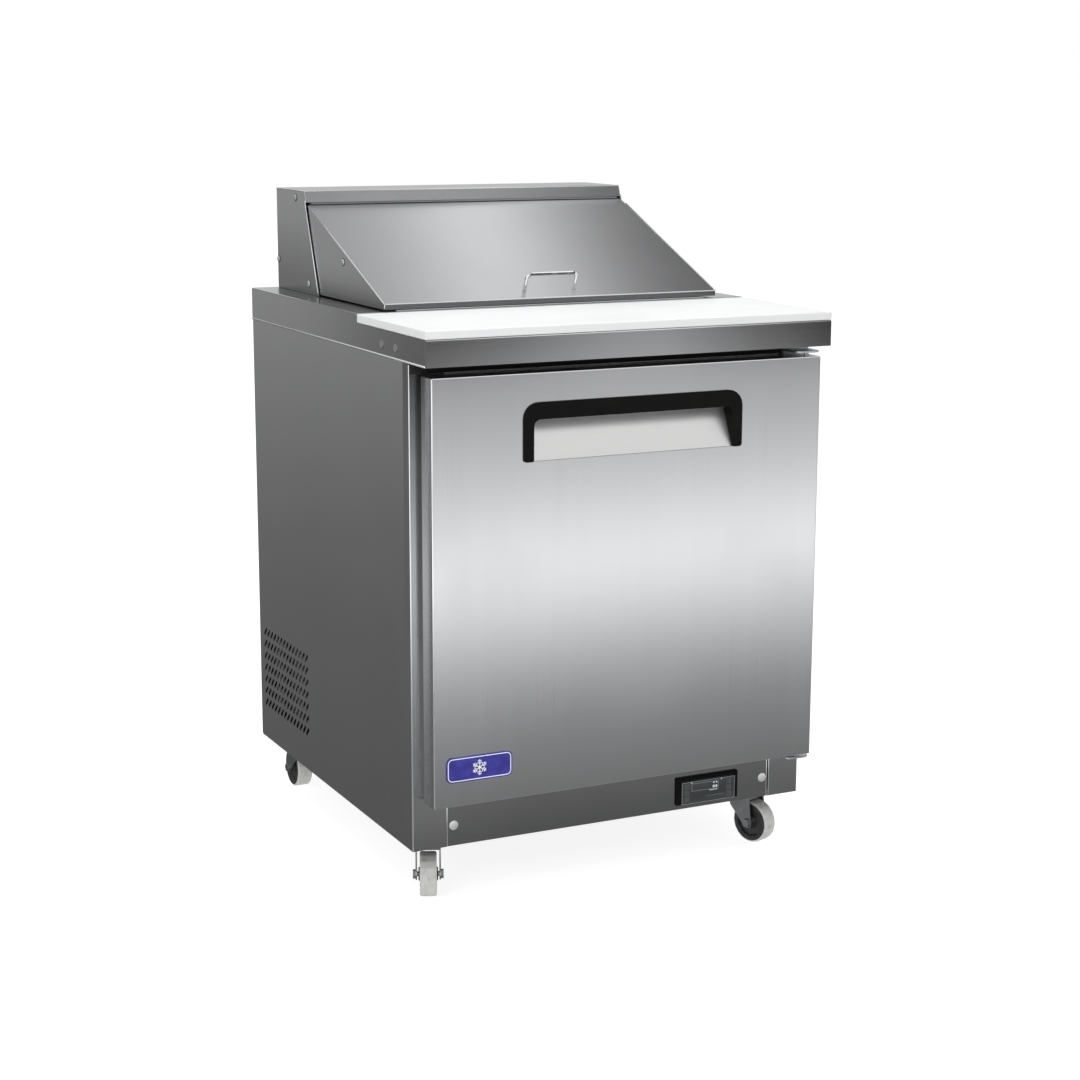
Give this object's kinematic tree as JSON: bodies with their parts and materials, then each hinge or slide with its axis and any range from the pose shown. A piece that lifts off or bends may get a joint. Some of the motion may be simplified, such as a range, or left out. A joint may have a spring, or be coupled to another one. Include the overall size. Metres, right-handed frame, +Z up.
{
  "type": "sandwich prep table",
  "caption": "Undercounter refrigerated cabinet on casters with one door, a rail of food pans under a hinged hood lid, and a full-width cutting board.",
  "frame": {"origin": "on the floor, below the middle of the worktop", "axes": "+Z up, front faces -Y, +X to the right seen from the front"},
  "size_m": [0.7008, 0.776, 1.08],
  "materials": {
    "stainless": "satin brushed stainless sheet",
    "galvanised": "zinc plated",
    "chrome": "bright plated wire",
    "fin_aluminium": "bare fins",
    "dark_steel": "dark coated sheet",
    "black_plastic": "satin moulded",
    "black_paint": "semi-gloss black",
    "board_white": "satin polyethylene",
    "liner_white": "smooth white",
    "foam": "foamed in place",
    "gasket_grey": "soft vinyl",
    "tread_grey": "satin grey tread",
    "badge_blue": "domed enamel",
    "display_glass": "polished window"
  },
  "bodies": {
    "cabinet": {"side_panel_left": "stainless", "side_panel_right": "stainless", "back_panel": "stainless", "base_pan": "galvanised", "foam_core": "foam", "liner": "liner_white", "front_frame": "stainless", "kick_panel": "stainless", "controller_bezel": "black_plastic", "controller_display": "display_glass", "power_inlet": "black_plastic", "worktop": "stainless", "pan_rail": "stainless", "food_pan_1": "stainless", "food_pan_2": "stainless", "food_pan_3": "stainless", "food_pan_4": "stainless", "food_pan_5": "stainless", "food_pan_6": "stainless", "hood_shell": "stainless", "lid_hinge_fixed_leaf": "stainless", "lid_hinge_pin": "chrome", "door_hinge_top": "galvanised", "door_hinge_bottom": "galvanised", "shelf_rail_left": "galvanised", "shelf_rail_right": "galvanised", "wire_shelf": "board_white", "evaporator_cover": "liner_white", "evaporator_coil": "fin_aluminium", "evaporator_fan_motor": "black_plastic", "compressor": "black_paint", "condenser_coil": "fin_aluminium", "condenser_shroud": "dark_steel", "condenser_fan_motor": "black_paint", "condensate_pan": "black_plastic", "caster_plate_front_left": "galvanised", "caster_plate_front_right": "galvanised", "caster_plate_rear_left": "galvanised", "caster_plate_rear_right": "galvanised"},
    "door": {"door_skin": "stainless", "door_liner": "liner_white", "door_gasket": "gasket_grey", "handle_scoop": "stainless", "handle_trim": "black_plastic", "door_badge": "badge_blue"},
    "lid": {"lid_skin": "stainless", "lid_liner": "liner_white", "lid_handle": "chrome", "lid_hinge_moving_leaf": "stainless"},
    "board": {"cutting_board": "board_white"},
    "condenser_fan_rotor": {"condenser_fan": "black_plastic"},
    "evaporator_fan_rotor": {"evaporator_fan": "black_plastic"},
    "fork_front_left": {"caster_fork_front_left": "galvanised"},
    "wheel_front_left": {"caster_wheel_front_left": "tread_grey"},
    "fork_front_right": {"caster_fork_front_right": "galvanised"},
    "wheel_front_right": {"caster_wheel_front_right": "tread_grey"},
    "fork_rear_left": {"caster_fork_rear_left": "galvanised"},
    "wheel_rear_left": {"caster_wheel_rear_left": "tread_grey"},
    "fork_rear_right": {"caster_fork_rear_right": "galvanised"},
    "wheel_rear_right": {"caster_wheel_rear_right": "tread_grey"}
  },
  "joints": [
    {"name": "door_hinge", "type": "hinge", "parent": "cabinet", "child": "door", "pos_m": [0.325, -0.353, 0.505], "axis": [0, 0, 1], "range_deg": [0, 105]},
    {"name": "lid_hinge", "type": "hinge", "parent": "cabinet", "child": "lid", "pos_m": [0, 0.23373, 1.058], "axis": [-1, 0, 0], "range_deg": [0, 125]},
    {"name": "board_lift", "type": "slide", "parent": "cabinet", "child": "board", "axis": [0, 0, 1], "range_m": [0, 0.1]},
    {"name": "swivel_front_left", "type": "hinge", "parent": "cabinet", "child": "fork_front_left", "pos_m": [-0.2925, -0.25, 0.06], "axis": [0, 0, 1], "continuous": true},
    {"name": "roll_front_left", "type": "hinge", "parent": "fork_front_left", "child": "wheel_front_left", "pos_m": [-0.3011, -0.27025, 0.035], "axis": [-0.9205, 0.3907, 0], "continuous": true},
    {"name": "swivel_front_right", "type": "hinge", "parent": "cabinet", "child": "fork_front_right", "pos_m": [0.2925, -0.25, 0.06], "axis": [0, 0, 1], "continuous": true},
    {"name": "roll_front_right", "type": "hinge", "parent": "fork_front_right", "child": "wheel_front_right", "pos_m": [0.30002, -0.27067, 0.035], "axis": [-0.9397, -0.342, 0], "continuous": true},
    {"name": "swivel_rear_left", "type": "hinge", "parent": "cabinet", "child": "fork_rear_left", "pos_m": [-0.2925, 0.328, 0.06], "axis": [0, 0, 1], "continuous": true},
    {"name": "roll_rear_left", "type": "hinge", "parent": "fork_rear_left", "child": "wheel_rear_left", "pos_m": [-0.2925, 0.35, 0.035], "axis": [1, 0, 0], "continuous": true},
    {"name": "swivel_rear_right", "type": "hinge", "parent": "cabinet", "child": "fork_rear_right", "pos_m": [0.2925, 0.328, 0.06], "axis": [0, 0, 1], "continuous": true},
    {"name": "roll_rear_right", "type": "hinge", "parent": "fork_rear_right", "child": "wheel_rear_right", "pos_m": [0.2925, 0.35, 0.035], "axis": [1, 0, 0], "continuous": true},
    {"name": "condenser_fan_spin", "type": "hinge", "parent": "cabinet", "child": "condenser_fan_rotor", "pos_m": [-0.256, 0.245, 0.205], "axis": [1, 0, 0], "continuous": true},
    {"name": "evaporator_fan_spin", "type": "hinge", "parent": "cabinet", "child": "evaporator_fan_rotor", "pos_m": [0, 0.264, 0.53], "axis": [0, -1, 0], "continuous": true}
  ]
}
